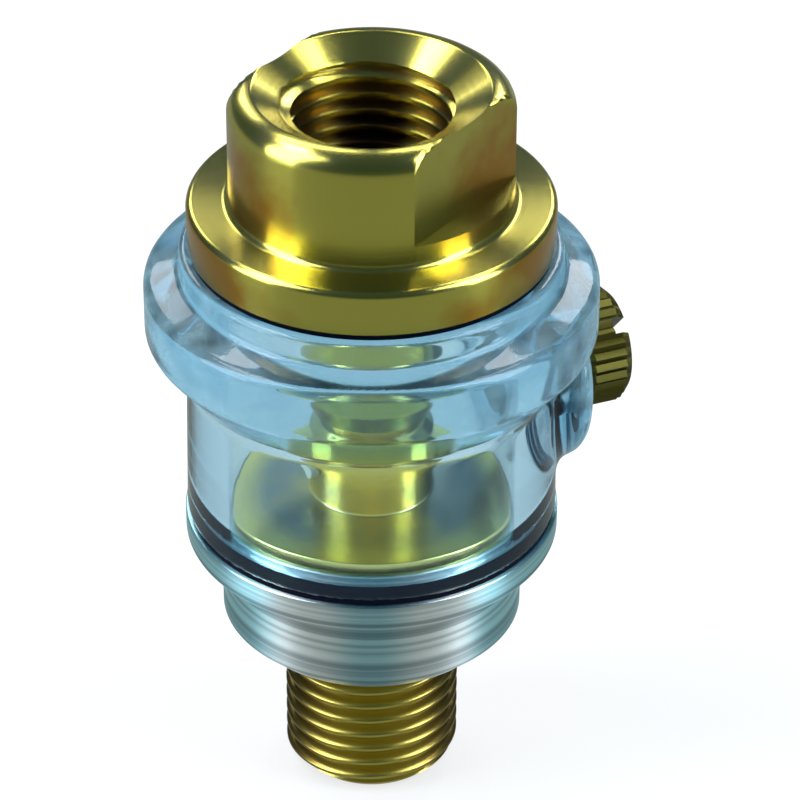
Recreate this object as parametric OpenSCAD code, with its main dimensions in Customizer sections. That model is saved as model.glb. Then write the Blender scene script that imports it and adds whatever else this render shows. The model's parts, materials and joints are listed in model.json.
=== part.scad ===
// Air line lubricator: a small in-line oiler with a clear bowl.
// Air enters the female port on top, runs down the stem in the middle of the bowl
// and leaves through the male thread below. Z is the flow axis, z = 0 is the male end face,
// and the filler boss points along +X. All sizes are in millimetres.

/* [Inlet cap] */
// Diameter of the cap's upper cylinder
cap_d = 20.5; // [19.5:0.1:22]
// Distance across the two wrench flats
flats_af = 16.4; // [16:0.1:19]
// Height of the wrench flats
flats_h = 7.1; // [4:0.1:7.8]
// Direction of one flat's normal, turned from the filler boss
flats_angle = -58; // [-180:1:180]
// Height of the upper cylinder above the flange
cap_h = 8.8; // [8.4:0.1:10]
// Rounding of the cap's upper edge
cap_edge_r = 1.6; // [0.4:0.1:1.7]
// Fillet at the foot of the upper cylinder
cap_foot_r = 0.5; // [0.2:0.1:0.8]
// How far the cap's flange stays inside the bowl's foot
flange_inset = 0.45; // [0.2:0.05:1]
// Thickness of the cap's flange
flange_h = 3.4; // [2.5:0.1:4.5]
// Rounding of the flange's upper edge
flange_edge_r = 0.5; // [0.2:0.1:1]
// Diameter of the dished mouth at the top face
mouth_d = 17; // [15:0.1:17.1]
// Depth of the dished mouth
mouth_depth = 1.7; // [1:0.1:1.9]
// Minor diameter of the female port thread
port_d = 11.445; // [10.5:0.005:12]
// Depth of the port below the top face
port_depth = 11; // [10.5:0.1:11.5]
// Height of the plug that centres the cap in the bowl
cap_plug_h = 2.3; // [1.5:0.1:3.5]
// Diameter of the hub under the cap
hub_d = 10.4; // [9.8:0.1:12]
// Length of the hub below the flange
hub_len = 12.5; // [11.8:0.1:13.8]
// Diameter at the hub's end
hub_end_d = 8.9; // [8.7:0.1:9.6]
// Height of the taper at the hub's end
hub_taper_h = 1.7; // [0.8:0.1:2.4]
// Depth of the hub's thread
hub_bore_depth = 7.6; // [6.8:0.1:8.2]
// Number of air holes in the port's floor
air_holes = 6; // [3:1:7]
// Diameter of an air hole
air_hole_d = 1.5; // [0.8:0.1:1.5]
// Pitch circle of the air holes
air_hole_pcd = 6.3; // [6.2:0.05:6.4]

/* [Bowl] */
// Height of the bowl from its foot to its top face
bowl_h = 21.9; // [21:0.1:24.5]
// Diameter at the bowl's foot
bowl_d = 27.5; // [26:0.1:31]
// Draft of the bowl's wall, from the foot to the ring
bowl_draft = 0.2; // [0.05:0.05:0.4]
// Thickness of the bowl's wall at the foot
bowl_wall_t = 2.95; // [2:0.05:3.4]
// How far the ring stands out of the bowl's foot
ring_out = 2.75; // [1.8:0.05:4.5]
// Height of the ring's underside above the foot
ring_z = 14.9; // [14.2:0.1:15.6]
// Height of the ring at its outer edge
ring_h = 4.5; // [3.2:0.1:4.7]
// Rise of the ring's top from its outer edge to the neck
ring_crown = 0.7; // [0.2:0.1:0.9]
// Rounding of the ring's edges
ring_edge_r = 0.8; // [0.4:0.1:1.4]
// Height of the slope under the ring
ring_slope_h = 3.2; // [2:0.1:4]
// Fillet between the bowl's wall and the slope
ring_fillet_r = 2; // [0.5:0.1:3]
// How far the neck stands out of the bowl's foot
neck_out = 0.15; // [0.05:0.05:0.6]
// Rounding of the neck's top edge
neck_edge_r = 0.4; // [0.1:0.1:0.6]

/* [Filler] */
// Diameter of the filler boss
boss_d = 15.2; // [12:0.1:15.4]
// How far the boss's end face stays inside the ring's edge
boss_inset = 1.7; // [1:0.1:1.8]
// Height of the boss's axis above the bowl's foot
boss_z = 9; // [8.4:0.1:10]
// Rounding of the boss's end
boss_edge_r = 1; // [0.3:0.1:1.5]
// Thread diameter of the filler plug
filler_thread_d = 6; // [5:0.1:7]
// Diameter of the plug's knurled head
filler_head_d = 8.9; // [8.8:0.1:11]
// Length of the plug's head
filler_head_len = 3.7; // [3:0.1:6]
// Chamfer of the plug's head
filler_head_chamfer = 0.6; // [0.2:0.1:0.8]
// Number of knurl ridges round the head
knurl_count = 30; // [24:1:40]
// Depth of the knurl
knurl_depth = 0.28; // [0.1:0.02:0.4]
// Turn of the screwdriver slot from upright
filler_slot_angle = 42; // [0:1:180]
// Width of the screwdriver slot
filler_slot_w = 1.2; // [0.8:0.1:1.6]
// Depth of the screwdriver slot
filler_slot_depth = 1.2; // [0.8:0.1:2]
// Diameter of the sealing washer
filler_seal_d = 8; // [7.4:0.1:8.4]
// Thickness of the sealing washer
filler_seal_t = 0.8; // [0.5:0.1:1.5]

/* [Base] */
// How far the base's rim stands out of the bowl's foot
base_rim_out = 0.15; // [0.05:0.05:0.6]
// Height of the rim
base_rim_h = 2.3; // [2:0.1:3.5]
// Rounding of the rim's lower edge
base_rim_r = 0.7; // [0.3:0.1:1.6]
// How far the step stays inside the rim
base_step_in = 2.65; // [1.6:0.05:3.5]
// Height of the step
base_step_h = 8; // [6.2:0.1:10]
// Chamfer at the bottom of the step
base_step_chamfer = 1.5; // [0.3:0.1:2]
// Height of the spigot that centres the base in the bowl
base_spigot_h = 1.2; // [0.8:0.1:1.6]
// Thread diameter that joins the base to the stem
base_thread_d = 14; // [13.6:0.1:15]

/* [Outlet stem] */
// Major diameter of the male outlet thread
outlet_d = 13.157; // [12.5:0.001:13.5]
// Length of the outlet below the base
outlet_len = 12.8; // [11:0.1:16]
// Chamfer at the male end
outlet_chamfer = 1.2; // [0.6:0.1:1.6]
// Length of the wider thread that shows under the base
outlet_collar_h = 0.5; // [0.2:0.1:1]
// Diameter of the outlet's bore
outlet_bore_d = 8; // [6.5:0.1:9]
// Depth of the outlet's bore
outlet_bore_depth = 9.5; // [6:0.1:10.5]
// Diameter of the stem in the bowl
stem_d = 9.2; // [8.4:0.1:10.4]
// Bore of the stem
stem_bore_d = 5.5; // [5:0.1:6]
// Gap between the floor disc and the bowl's bore
disc_gap = 0.3; // [0.2:0.1:1.2]
// Thickness of the disc
disc_h = 1; // [0.6:0.1:1.6]
// Thread diameter at the top of the stem
stem_thread_d = 8; // [7.8:0.1:8.4]
// Length of the thread that shows under the hub
stem_neck_len = 1.2; // [0.8:0.1:3]
// Height of the cone under the thread
stem_shoulder_h = 0.6; // [0.4:0.1:2]
// Diameter of the oil wick
wick_d = 2; // [1.2:0.1:2.6]
// Height of the wick above the disc
wick_z = 2.6; // [1.6:0.1:3.4]
// How far the wick stands out of the stem
wick_proud = 0.5; // [0.2:0.1:1]

/* [Jet and metering screw] */
// Length of the venturi jet
jet_len = 5; // [4.6:0.1:6]
// Diameter of the jet's throat
throat_d = 2.6; // [2.2:0.1:3]
// Length of the jet's throat
throat_len = 1.5; // [0.8:0.1:2]
// Diameter of the jet's mouths
jet_mouth_d = 4.8; // [4.2:0.1:4.9]
// Diameter of the metering screw's head
screw_head_d = 4.1; // [3.8:0.05:4.2]
// Height of the metering screw's head
screw_head_h = 2.5; // [2.4:0.1:2.8]
// Depth of the head's top under the port's floor
screw_recess = 0.8; // [0.5:0.1:0.9]
// Thread diameter of the metering screw
screw_thread_d = 3; // [2.6:0.1:3.2]
// Length of the metering screw's thread
screw_thread_len = 2.6; // [2.4:0.1:3]
// Thread length in the cap for the metering screw
screw_hole_len = 2.2; // [1.8:0.1:2.4]
// Diameter of the needle
needle_d = 2; // [1.4:0.1:2.1]
// Length of the needle's straight part
needle_len = 1.1; // [0.6:0.1:1.4]
// Length of the needle's cone
needle_cone = 2.5; // [1.5:0.1:3]
// Diameter of the needle's tip
needle_tip_d = 0.6; // [0.3:0.1:0.8]
// Width of the metering screw's slot
screw_slot_w = 0.6; // [0.4:0.1:0.8]
// Depth of the metering screw's slot
screw_slot_depth = 0.7; // [0.4:0.1:0.8]
// Cord thickness of the metering seal
screw_seal_t = 0.9; // [0.7:0.05:1]
// Lower land under the metering seal
screw_land_h = 0.4; // [0.3:0.1:0.5]

/* [Gaskets] */
// Thickness of the gasket under the cap
cap_gasket_t = 0.4; // [0.3:0.1:1]
// Thickness of the gasket on the base
base_gasket_t = 0.5; // [0.3:0.1:0.8]
// How far the gaskets stay inside the edge
gasket_inset = 0.15; // [0.05:0.05:0.5]
// Cord thickness of the stem's O-ring
stem_seal_t = 1.3; // [1:0.1:1.6]

/* [Fits] */
// Radial gap of a thread that is drawn plain
thread_gap = 0.03; // [0.02:0.01:0.06]
// Radial gap of a piece that centres another
centring_gap = 0.1; // [0.05:0.05:0.2]
// Radial gap of a pressed or pushed insert
insert_gap = 0.02; // [0.01:0.01:0.04]
// Room round a seal in its groove
seal_gap = 0.04; // [0.02:0.01:0.06]

/* [Hidden] */
$fn = 96;

brass = [0.72, 0.58, 0.22];
clear_blue = [0.62, 0.8, 0.88, 0.45];
aluminium = [0.74, 0.77, 0.79];
black_rubber = [0.06, 0.07, 0.1];
felt = [0.8, 0.76, 0.66];

// Steps in a rounded corner
corner_steps = 6;
// Share of a side that a rounded corner may take where the side's other end is sharp or rounded
sharp_share = 0.98;
round_share = 0.49;
// Overlap of cutting tools past a face
cut = 1;

// Heights along the flow axis, from the male end upward
base_bottom_z = outlet_len;
rim_bottom_z = base_bottom_z + base_step_h;
base_top_z = rim_bottom_z + base_rim_h;
disc_bottom_z = base_top_z + base_spigot_h;
disc_top_z = disc_bottom_z + disc_h;
foot_z = base_top_z + base_gasket_t;
bowl_top_z = foot_z + bowl_h;
flange_bottom_z = bowl_top_z + cap_gasket_t;
flange_top_z = flange_bottom_z + flange_h;
cap_top_z = flange_top_z + cap_h;
port_floor_z = cap_top_z - port_depth;
hub_end_z = flange_bottom_z - hub_len;
web_bottom_z = hub_end_z + hub_bore_depth;
screw_hole_top_z = web_bottom_z + screw_hole_len;
filler_z = foot_z + boss_z;

// Room above the stem, where the air holes meet
chamber_h = 0.5;
stem_top_z = web_bottom_z - chamber_h;
neck_bottom_z = hub_end_z - stem_neck_len;
jet_bottom_z = stem_top_z - jet_len;
jet_cone_h = (jet_len - throat_len) / 2;

// Metering screw heights
screw_top_z = port_floor_z - screw_recess;
screw_head_z = screw_top_z - screw_head_h;
screw_seal_z = screw_head_z + screw_land_h + screw_seal_t / 2 + seal_gap;
screw_thread_end_z = screw_head_z - screw_thread_len;
needle_end_z = screw_thread_end_z - needle_len;

// Diameters that follow the bowl
bowl_bore_d = bowl_d - 2 * bowl_wall_t;
bowl_upper_d = bowl_d - 2 * bowl_draft;
ring_d = bowl_d + 2 * ring_out;
neck_d = bowl_d + 2 * neck_out;
flange_d = bowl_d - 2 * flange_inset;
base_d = bowl_d + 2 * base_rim_out;
base_step_d = base_d - 2 * base_step_in;
disc_d = bowl_bore_d - 2 * disc_gap;
boss_reach = ring_d / 2 - boss_inset;

// Shared radii
spigot_r = bowl_bore_d / 2 - centring_gap;
screw_bore_r = screw_head_d / 2 + seal_gap;
stem_seal_r = base_thread_d / 2 + stem_seal_t / 2 + centring_gap;
stem_groove_r = stem_seal_r + stem_seal_t / 2 + centring_gap;
filler_head_x = boss_reach + filler_seal_t;

// Unit vector along v
function unit(v) = v / norm(v);

// Room that the outline's point p leaves on its side to the corner at b
function room(p, b) = (len(p) == 3 ? round_share : sharp_share) * norm([p.x, p.y] - b);

// Points of a corner at b between p and q, rounded to radius r as far as its sides allow
function corner(p, b, q, r) =
    let (
        u = unit([p.x, p.y] - b),
        v = unit([q.x, q.y] - b),
        half = acos(max(-1, min(1, u * v))) / 2,
        reach = min(r / tan(half), room(p, b), room(q, b)),
        round_r = reach * tan(half),
        centre = b + unit(u + v) * round_r / sin(half),
        from = b + u * reach - centre,
        to = b + v * reach - centre,
        start = atan2(from.y, from.x),
        turn = atan2(from.x * to.y - from.y * to.x, from * to)
    )
    [for (i = [0 : corner_steps])
        centre + round_r * [cos(start + turn * i / corner_steps), sin(start + turn * i / corner_steps)]];

// Outline whose points are [x, y] or [x, y, corner radius]
function rounded(points) =
    let (count = len(points))
    [for (i = [0 : count - 1])
        let (
            before = points[(i + count - 1) % count],
            here = points[i],
            after = points[(i + 1) % count],
            point = [here.x, here.y]
        )
        each len(here) == 3
            ? corner(before, point, after, here.z)
            : [point]];

// Solid of revolution about the flow axis
module turned(points) {
    rotate_extrude() polygon(rounded(points));
}

// Flat ring from z to z + t
module washer(inner_r, outer_r, z, t) {
    turned([[inner_r, z], [outer_r, z], [outer_r, z + t], [inner_r, z + t]]);
}

// Ring of round cord
module cord_ring(ring_r, cord_t, z) {
    translate([0, 0, z]) rotate_extrude() translate([ring_r, 0]) circle(d = cord_t, $fn = 32);
}

// Puts what is drawn along Z onto the filler's axis, pointing outward
module on_filler_axis() {
    translate([0, 0, filler_z]) rotate([0, 90, 0]) children();
}

// Brass cap with the female port, the flange and the hub that takes the stem
module inlet_cap() {
    thread_r = stem_thread_d / 2 + thread_gap;
    hub_r = hub_d / 2;
    color(brass) difference() {
        turned([
            [thread_r, hub_end_z],
            [hub_end_d / 2, hub_end_z],
            [hub_r, hub_end_z + hub_taper_h],
            [hub_r, flange_bottom_z - cap_plug_h],
            [spigot_r, flange_bottom_z - cap_plug_h],
            [spigot_r, flange_bottom_z],
            [flange_d / 2, flange_bottom_z],
            [flange_d / 2, flange_top_z, flange_edge_r],
            [cap_d / 2, flange_top_z, cap_foot_r],
            [cap_d / 2, cap_top_z, cap_edge_r],
            [mouth_d / 2, cap_top_z],
            [port_d / 2, cap_top_z - mouth_depth],
            [port_d / 2, port_floor_z],
            [screw_bore_r, port_floor_z],
            [screw_bore_r, screw_hole_top_z],
            [screw_thread_d / 2 + thread_gap, screw_hole_top_z],
            [screw_thread_d / 2 + thread_gap, web_bottom_z],
            [thread_r, web_bottom_z]
        ]);
        wrench_flats();
        air_passages();
    }
}

// Cutters for the two wrench flats
module wrench_flats() {
    for (side = [0, 180])
        rotate([0, 0, flats_angle + side])
            translate([flats_af / 2, -cap_d, cap_top_z - flats_h])
                cube([cap_d, 2 * cap_d, flats_h + cut]);
}

// Holes that lead the air past the metering screw
module air_passages() {
    for (i = [0 : air_holes - 1])
        rotate([0, 0, i * 360 / air_holes])
            translate([air_hole_pcd / 2, 0, web_bottom_z - chamber_h / 2])
                cylinder(d = air_hole_d, h = port_floor_z - web_bottom_z + chamber_h);
}

// Gasket between the cap's flange and the bowl's neck
module cap_gasket() {
    color(black_rubber)
        washer(bowl_bore_d / 2, flange_d / 2 - gasket_inset, bowl_top_z, cap_gasket_t);
}

// Clear bowl with its ring, neck and filler boss
module bowl() {
    color(clear_blue) difference() {
        union() {
            bowl_wall();
            filler_boss();
        }
        translate([0, 0, foot_z - cut]) cylinder(d = bowl_bore_d, h = bowl_h + 2 * cut);
        on_filler_axis() cylinder(d = filler_thread_d + 2 * thread_gap, h = boss_reach + cut);
    }
}

// Outside of the bowl, solid to the axis
module bowl_wall() {
    ring_bottom_z = foot_z + ring_z;
    ring_top_z = ring_bottom_z + ring_h;
    turned([
        [0, foot_z],
        [bowl_d / 2, foot_z],
        [bowl_upper_d / 2, ring_bottom_z - ring_slope_h, ring_fillet_r],
        [ring_d / 2, ring_bottom_z + ring_edge_r / 2, ring_edge_r],
        [ring_d / 2, ring_top_z, ring_edge_r],
        [neck_d / 2, ring_top_z + ring_crown, ring_edge_r / 2],
        [neck_d / 2, bowl_top_z, neck_edge_r],
        [0, bowl_top_z]
    ]);
}

// Round boss for the filler plug, solid to the axis
module filler_boss() {
    on_filler_axis() turned([
        [0, 0],
        [boss_d / 2, 0],
        [boss_d / 2, boss_reach, boss_edge_r],
        [0, boss_reach]
    ]);
}

// Sealing washer under the filler plug's head
module filler_seal() {
    color(black_rubber) on_filler_axis()
        washer(filler_thread_d / 2 + seal_gap, filler_seal_d / 2, boss_reach, filler_seal_t);
}

// Knurled filler plug with a screwdriver slot
module filler_plug() {
    shank_end_x = bowl_bore_d / 2;
    color(brass) on_filler_axis() {
        translate([0, 0, shank_end_x])
            cylinder(d = filler_thread_d, h = filler_head_x - shank_end_x);
        translate([0, 0, filler_head_x]) difference() {
            intersection() {
                linear_extrude(filler_head_len) knurl();
                head_blank();
            }
            rotate([0, 0, filler_slot_angle])
                translate([-filler_head_d, -filler_slot_w / 2, filler_head_len - filler_slot_depth])
                    cube([2 * filler_head_d, filler_slot_w, filler_slot_depth + cut]);
        }
    }
}

// Chamfered blank that the knurl is cut back to
module head_blank() {
    head_r = filler_head_d / 2;
    wide_r = head_r + knurl_depth;
    wide_h = filler_head_chamfer + knurl_depth;
    turned([
        [0, 0],
        [head_r - filler_head_chamfer, 0],
        [wide_r, wide_h],
        [wide_r, filler_head_len - wide_h],
        [head_r - filler_head_chamfer, filler_head_len],
        [0, filler_head_len]
    ]);
}

// Outline of the straight knurl
module knurl() {
    ridge = 360 / knurl_count;
    polygon([for (i = [0 : 2 * knurl_count - 1])
        let (r = filler_head_d / 2 - (i % 2) * knurl_depth)
        r * [cos(i * ridge / 2), sin(i * ridge / 2)]]);
}

// Gasket between the bowl's foot and the base's rim
module base_gasket() {
    color(black_rubber)
        washer(bowl_bore_d / 2, bowl_d / 2 - gasket_inset, base_top_z, base_gasket_t);
}

// Aluminium base that screws onto the stem
module base_nut() {
    thread_r = base_thread_d / 2 + thread_gap;
    step_r = base_step_d / 2;
    color(aluminium) turned([
        [thread_r, base_bottom_z],
        [step_r - base_step_chamfer, base_bottom_z],
        [step_r, base_bottom_z + base_step_chamfer],
        [step_r, rim_bottom_z],
        [base_d / 2, rim_bottom_z, base_rim_r],
        [base_d / 2, base_top_z],
        [spigot_r, base_top_z],
        [spigot_r, disc_bottom_z],
        [stem_groove_r, disc_bottom_z],
        [stem_groove_r, disc_bottom_z - stem_seal_t],
        [thread_r, disc_bottom_z - stem_seal_t]
    ]);
}

// O-ring between the base and the stem's disc
module stem_seal() {
    color(black_rubber) cord_ring(stem_seal_r, stem_seal_t, disc_bottom_z - stem_seal_t / 2);
}

// Brass stem with the male outlet, the floor disc and the threaded top
module outlet_stem() {
    outlet_r = outlet_d / 2;
    bore_step = (outlet_bore_d - stem_bore_d) / 2;
    color(brass) difference() {
        turned([
            [outlet_bore_d / 2, 0],
            [outlet_r - outlet_chamfer, 0],
            [outlet_r, outlet_chamfer],
            [outlet_r, base_bottom_z - outlet_collar_h],
            [base_thread_d / 2, base_bottom_z - outlet_collar_h],
            [base_thread_d / 2, disc_bottom_z],
            [disc_d / 2, disc_bottom_z],
            [disc_d / 2, disc_top_z],
            [stem_d / 2, disc_top_z],
            [stem_d / 2, neck_bottom_z - stem_shoulder_h],
            [stem_thread_d / 2, neck_bottom_z],
            [stem_thread_d / 2, stem_top_z],
            [stem_bore_d / 2, stem_top_z],
            [stem_bore_d / 2, outlet_bore_depth + bore_step],
            [outlet_bore_d / 2, outlet_bore_depth]
        ]);
        on_wick_axis() cylinder(d = wick_d, h = stem_d);
    }
}

// Puts what is drawn along Z onto the wick's axis, away from the filler
module on_wick_axis() {
    translate([0, 0, disc_top_z + wick_z]) rotate([0, -90, 0]) children();
}

// Jet in the top of the stem's bore
module venturi_jet() {
    jet_r = stem_bore_d / 2 - insert_gap;
    color(brass) turned([
        [jet_mouth_d / 2, jet_bottom_z],
        [jet_r, jet_bottom_z],
        [jet_r, stem_top_z],
        [jet_mouth_d / 2, stem_top_z],
        [throat_d / 2, stem_top_z - jet_cone_h],
        [throat_d / 2, jet_bottom_z + jet_cone_h]
    ]);
}

// Felt plug in the stem's wall
module oil_wick() {
    color(felt) on_wick_axis() translate([0, 0, stem_bore_d / 2])
        cylinder(d = wick_d - 2 * insert_gap, h = (stem_d - stem_bore_d) / 2 + wick_proud);
}

// O-ring in the metering screw's groove
module metering_seal() {
    ring_r = screw_bore_r - seal_gap - screw_seal_t / 2;
    color(black_rubber) cord_ring(ring_r, screw_seal_t, screw_seal_z);
}

// Slotted metering screw with a needle point
module metering_screw() {
    head_r = screw_head_d / 2;
    groove_r = screw_bore_r - 2 * seal_gap - screw_seal_t;
    groove_half = screw_seal_t / 2 + seal_gap;
    color(brass) difference() {
        turned([
            [0, needle_end_z - needle_cone],
            [needle_tip_d / 2, needle_end_z - needle_cone],
            [needle_d / 2, needle_end_z],
            [needle_d / 2, screw_thread_end_z],
            [screw_thread_d / 2, screw_thread_end_z],
            [screw_thread_d / 2, screw_head_z],
            [head_r, screw_head_z],
            [head_r, screw_seal_z - groove_half],
            [groove_r, screw_seal_z - groove_half],
            [groove_r, screw_seal_z + groove_half],
            [head_r, screw_seal_z + groove_half],
            [head_r, screw_top_z],
            [0, screw_top_z]
        ]);
        translate([-screw_head_d, -screw_slot_w / 2, screw_top_z - screw_slot_depth])
            cube([2 * screw_head_d, screw_slot_w, screw_slot_depth + cut]);
    }
}

inlet_cap();
cap_gasket();
bowl();
filler_seal();
filler_plug();
base_gasket();
base_nut();
stem_seal();
outlet_stem();
venturi_jet();
oil_wick();
metering_seal();
metering_screw();
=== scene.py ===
"""Air line lubricator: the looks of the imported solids, with their threads and the moulded clear bowl."""
import json
import math

import bmesh
import bpy
import numpy as np
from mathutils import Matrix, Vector


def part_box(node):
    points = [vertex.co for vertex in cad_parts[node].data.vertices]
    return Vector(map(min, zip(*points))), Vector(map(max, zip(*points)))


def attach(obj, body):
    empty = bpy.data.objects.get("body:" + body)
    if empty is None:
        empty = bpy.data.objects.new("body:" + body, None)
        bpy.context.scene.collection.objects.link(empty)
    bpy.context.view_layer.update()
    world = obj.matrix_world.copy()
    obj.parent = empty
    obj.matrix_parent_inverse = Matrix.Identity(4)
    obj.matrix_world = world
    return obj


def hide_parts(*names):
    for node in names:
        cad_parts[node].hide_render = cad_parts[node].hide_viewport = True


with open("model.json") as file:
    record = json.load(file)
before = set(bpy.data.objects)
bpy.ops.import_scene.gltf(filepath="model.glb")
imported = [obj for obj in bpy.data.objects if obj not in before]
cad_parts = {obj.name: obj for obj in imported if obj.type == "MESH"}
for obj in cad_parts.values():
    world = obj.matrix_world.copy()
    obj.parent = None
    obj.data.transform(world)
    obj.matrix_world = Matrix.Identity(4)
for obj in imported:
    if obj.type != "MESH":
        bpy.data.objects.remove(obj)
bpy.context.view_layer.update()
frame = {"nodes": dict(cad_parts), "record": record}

# Lengths below are in millimetres, in the frame's own axes
MM = 0.001

# Camera, fitted to the outline in the photograph
IMAGE_PX = 800
CAMERA_AZIMUTH = -21.6
CAMERA_ELEVATION = 33.5
CAMERA_DISTANCE = 299.0
TARGET_Z = 31.6
TARGET_PX = (371.6, 403.2)
FOCAL_PX = 4055.0
SENSOR_WIDTH = 36.0
CLIP_NEAR = 10.0
CLIP_FAR = 10000.0

# Threads
PIPE_PITCH = 1.337
PIPE_DEPTH = 0.856
STEM_PITCH = 1.0
STEM_DEPTH = 0.55
PLUG_PITCH = 1.0
PLUG_DEPTH = 0.5
STEPS_PER_PITCH = 14
# How much of the thread form is cut flat, and the share of a turn over which a thread fades out
THREAD_FLAT = 1.5
FADE_TURNS = 0.5

# Cap
FLATS_AF = 16.4
FLATS_H = 7.1
FLATS_ANGLE = -58.0
CAP_D = 20.5
CAP_H = 8.8
CAP_EDGE_R = 1.6
CAP_FOOT_R = 0.5
LEDGE_STEP = 0.001
FLANGE_H = 3.4
FLANGE_EDGE_R = 0.5
MOUTH_D = 17.0
MOUTH_DEPTH = 1.7
PORT_DEPTH = 11.0
PORT_RELIEF = 1.2
CAP_PLUG_H = 2.3
HUB_D = 10.4
HUB_BORE_DEPTH = 7.6
HUB_END_D = 8.9
HUB_TAPER_H = 1.7
WEB_CORE_R = 4.8
AIR_HOLES = 6
AIR_HOLE_D = 1.5
AIR_HOLE_PCD = 6.3
SCREW_BORE_D = 4.18
SCREW_HOLE_D = 3.06
SCREW_HOLE_LEN = 2.2

# Bowl
BOWL_DRAFT = 0.2
BOWL_BORE_D = 21.6
RING_OUT = 2.75
RING_Z = 14.9
RING_H = 4.5
RING_CROWN = 0.7
RING_EDGE_R = 0.8
RING_SLOPE_H = 3.2
RING_FILLET_R = 2.0
NECK_OUT = 0.15
NECK_EDGE_R = 0.4
FOOT_EDGE_R = 0.08
BOSS_D = 15.2
BOSS_EDGE_R = 1.0
FILLER_HOLE_D = 6.06
BOSS_BLEND = 1.3
EDGE_BLEND = 0.25
MOULD_STEP = 0.25
FREE_CELLS = 2
# Rounds that draw the mesh's points onto the surface, and how the surface's slope is measured for that
SURFACE_ROUNDS = 3
SLOPE_NUDGE = 0.02
LEAST_SLOPE = 0.2
# Table of distances to the bowl's outline: step, room around the outline, and its reach past the axis
FIELD_STEP = 0.05
FIELD_ROOM = 1.5
PAST_AXIS = 5.0

# Stem and base
OUTLET_CHAMFER = 1.2
OUTLET_COLLAR_H = 0.5
OUTLET_BORE_D = 8.0
OUTLET_BORE_DEPTH = 9.5
BASE_THREAD_D = 14.0
STEM_D = 9.2
STEM_BORE_D = 5.5
STEM_THREAD_D = 8.0
STEM_NECK_LEN = 1.2
STEM_SHOULDER_H = 0.6
DISC_H = 1.0
BASE_RIM_H = 2.3
BASE_RIM_R = 0.7
BASE_RIM_OUT = 0.15
BASE_STEP_R = 0.25
BASE_STEP_IN = 2.65
BASE_STEP_CHAMFER = 1.5
BASE_GROOVE_R = 8.5
BASE_GROOVE_DEPTH = 1.3
CENTRING_GAP = 0.1
DISC_GAP = 0.3
STEM_FOOT_R = 0.2
GASKET_EDGE_R = 0.08
# How far a gasket is pressed into the clear plastic, so that no air shows between them
GASKET_CONTACT = 0.03

# Filler plug
KNURL_COUNT = 30
KNURL_POINTS = 4
KNURL_DEPTH = 0.28
PLUG_HEAD_D = 8.9
PLUG_HEAD_CHAMFER = 0.6
PLUG_THREAD_D = 6.0
PLUG_SLOT_W = 1.2
PLUG_SLOT_DEPTH = 1.2
PLUG_SLOT_ANGLE = 42.0
SLOT_CUTTER_OVER = 1.0

# Meshes
SQUARE = ((-1, -1), (1, -1), (1, 1), (-1, 1))
SOFT_EDGE = 0.12
SHARP_ANGLE = 32.0
BOWL_SHARP_ANGLE = 80.0
PLUG_SHARP_ANGLE = 20.0
WELD = 0.0001
TINY = 0.000001
ANGLE_DIGITS = 6
ARC_STEPS = 6
CAP_SEGMENTS = 216
TURNED_SEGMENTS = 180
PLATE_SEGMENTS = 72
HOLE_SEGMENTS = 32
SMALL_HOLE_R = 1.0
# Share of a side that a rounded corner may take where the side's other end is sharp or rounded
SHARP_SHARE = 0.98
ROUND_SHARE = 0.49

# Shading
# Camera's level sideways direction for the distance aside, across which tones change, mostly painted light
# and shade
ASIDE_AXIS = (0.93, -0.37, 0)
# How fast painted shade dulls the brass aside, the shift of the dull share, and size and detail of its
# tarnish spots
PAINTED_SIDE_SHADE_PER_M = 60.0
TARNISH_AND_SHADE_SHIFT = 0.3
PATINA_SPOTS = 220.0
PATINA_DETAIL = 9.0
# Turning marks: fineness, depth, strength on brass and on the base, and the quarter turn across them
MARKS = 4200.0
MARK_DEPTH = 0.02
BRASS_MARKS = 0.25
BASE_MARKS = 0.6
ACROSS_MARKS = 0.25
# Turning lines of the base
LINES = 1800.0
LINES_DETAIL = 3.0
# Roughness of the thin clear film on the brass
COAT_ROUGHNESS = 0.4
# Depth at which the port has its full painted shade, and the distances aside between which it has that
# shade
PORT_SHADE = 7.5
PORT_MIDDLE = 1.8
PORT_SIDE = 3.6
# Radii between which the disc of the stem turns bright: a painted highlight
RIM_NEAR = 7.5
RIM_FAR = 10.5
# Roughness of the outlet's thread, and the distance aside from which painted shade darkens it
THREAD_ROUGHNESS = 0.3
THREAD_MIDDLE = 1.0
# Distances aside between which the base turns from grey painted shade to bright, and from bright to a blue
# painted reflection
GREY_NEAR = 0.5
GREY_FAR = 4.0
BLUE_NEAR = 6.0
BLUE_FAR = 9.0
# Fibres of the felt: fineness, detail, strength and depth
FELT_FIBRES = 5000.0
FELT_DETAIL = 4.0
FELT_BUMP = 0.8
FELT_DEPTH = 0.1
# Blue of the clear plastic, by the metre of light's way
TINT_PER_M = 150.0
# Heights between which the plastic turns milky, places along X between which the boss does, and how milky
FROST_LOW = 36.5
FROST_HIGH = 39.5
FROST_SHARE = 0.24
FROST_NEAR = 12.5
FROST_FAR = 14.0
BOSS_FROST_SHARE = 0.3
# Soft spots of the milkiness: fineness, detail, part of the noise that counts, and what it is multiplied by
FROST_SPOTS = 500.0
FROST_DETAIL = 3.0
SPOT_NOISE = (0.3, 0.7)
SPOT_FACTOR = (0.5, 1.4)
# Distances aside between which the milkiness grows, and what it is multiplied by
FROST_MIDDLE = 3.0
FROST_SIDE = 10.0
SIDE_FACTOR = (0.25, 1.3)

# Studio, with the share of white in what the camera sees of the floor, and the floor's tone in the metal
WHITE = (1, 1, 1, 1)
COOL_LIGHT = (0.92, 1, 1.08)
DARK_ROOM = (0.05, 0.085, 0.1, 1)
FLOOR_HALF = 3000.0
FLOOR_GLOW = 0.7
FLOOR_MIRRORED = (0.34, 0.385, 0.36, 1)

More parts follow.
